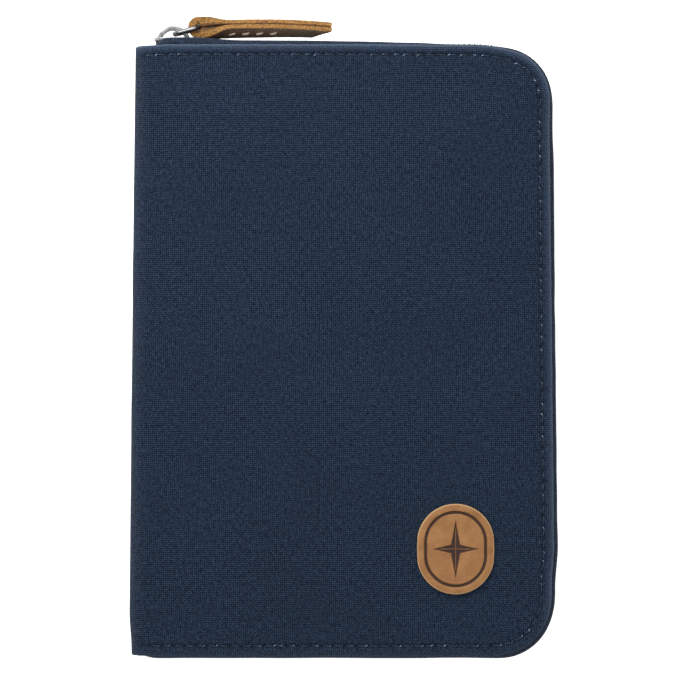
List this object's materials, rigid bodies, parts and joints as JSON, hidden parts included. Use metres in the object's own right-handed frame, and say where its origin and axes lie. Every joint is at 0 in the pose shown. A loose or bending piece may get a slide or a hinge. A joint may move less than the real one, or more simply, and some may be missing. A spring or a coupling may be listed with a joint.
{
  "type": "passport holder",
  "caption": "Zip-around fabric passport holder that opens like a book, with a passport pocket, card slots, a coin pocket and a leather zip puller.",
  "frame": {"origin": "centre of the back cover's outer face, which the closed holder rests on", "axes": "+X from the spine to the opening edge, +Y along the spine towards the edge where the slider parks, +Z out of the front cover"},
  "size_m": [0.1009, 0.1537, 0.019],
  "materials": {
    "canvas": "waxed plain-weave navy canvas",
    "lining": "fine polyester lining",
    "board": "thin polyethylene stiffening board",
    "zip_tape": "woven polyester tape",
    "zip_coil": "dark nylon monofilament",
    "thread": "navy sewing thread",
    "cream_thread": "cream waxed thread",
    "nickel": "satin nickel plate",
    "leather": "vegetable-tanned tan leather"
  },
  "bodies": {
    "back": {"back_cover": "canvas", "back_stiffener": "board", "back_lining": "lining", "back_topstitch": "thread", "back_zip_tape": "zip_tape", "back_zip_coil": "zip_coil", "back_zip_stops": "zip_coil", "passport_pocket": "lining", "passport_gusset": "lining", "pocket_binding": "zip_tape", "coin_pocket": "lining", "coin_edging": "zip_tape", "coin_zip_tape": "zip_tape", "coin_zip_coil": "zip_coil", "coin_zip_stops": "zip_coil"},
    "spine": {"spine_panel": "canvas", "spine_lining": "lining"},
    "front": {"front_cover": "canvas", "front_stiffener": "board", "front_lining": "lining", "front_topstitch": "thread", "front_zip_tape": "zip_tape", "front_zip_coil": "zip_coil", "front_zip_stops": "zip_coil", "leather_badge": "leather", "card_backing": "lining", "card_slot_1": "lining", "card_slot_2": "lining", "card_slot_3": "lining", "card_edging": "zip_tape"},
    "slider": {"slider_body": "nickel", "slider_bridge": "nickel"},
    "pull_tab": {"pull_ring": "nickel"},
    "puller": {"leather_puller": "leather", "puller_stitches": "cream_thread"},
    "coin_slider": {"coin_slider_body": "nickel", "coin_slider_bridge": "nickel"},
    "coin_pull": {"coin_pull_ring": "nickel"}
  },
  "joints": [
    {"name": "spine_fold", "type": "hinge", "parent": "back", "child": "spine", "pos_m": [-0.05, 0, 0], "axis": [0, -1, 0], "range_deg": [0, 90]},
    {"name": "cover_fold", "type": "hinge", "parent": "spine", "child": "front", "pos_m": [-0.05, 0, 0.018], "axis": [0, -1, 0], "range_deg": [0, 90]},
    {"name": "slider_travel", "type": "slide", "parent": "back", "child": "slider", "axis": [1, 0, 0], "range_m": [0, 0.07]},
    {"name": "ring_swing", "type": "hinge", "parent": "slider", "child": "pull_tab", "pos_m": [-0.0398, 0.07565, 0.009], "axis": [0, 0, 1], "range_deg": [0, 135]},
    {"name": "puller_swing", "type": "hinge", "parent": "pull_tab", "child": "puller", "pos_m": [-0.03411, 0.0772, 0.009], "axis": [0, 0, 1], "range_deg": [0, 45]},
    {"name": "coin_slider_travel", "type": "slide", "parent": "back", "child": "coin_slider", "axis": [1, 0, 0], "range_m": [0, 0.045]},
    {"name": "coin_ring_swing", "type": "hinge", "parent": "coin_slider", "child": "coin_pull", "pos_m": [-0.01331, 0.0485, 0.01094], "axis": [0, -1, 0], "range_deg": [0, 22]}
  ],
  "couplings": [
    {"joint": "spine_fold", "follows": "cover_fold", "ratio": 1}
  ]
}
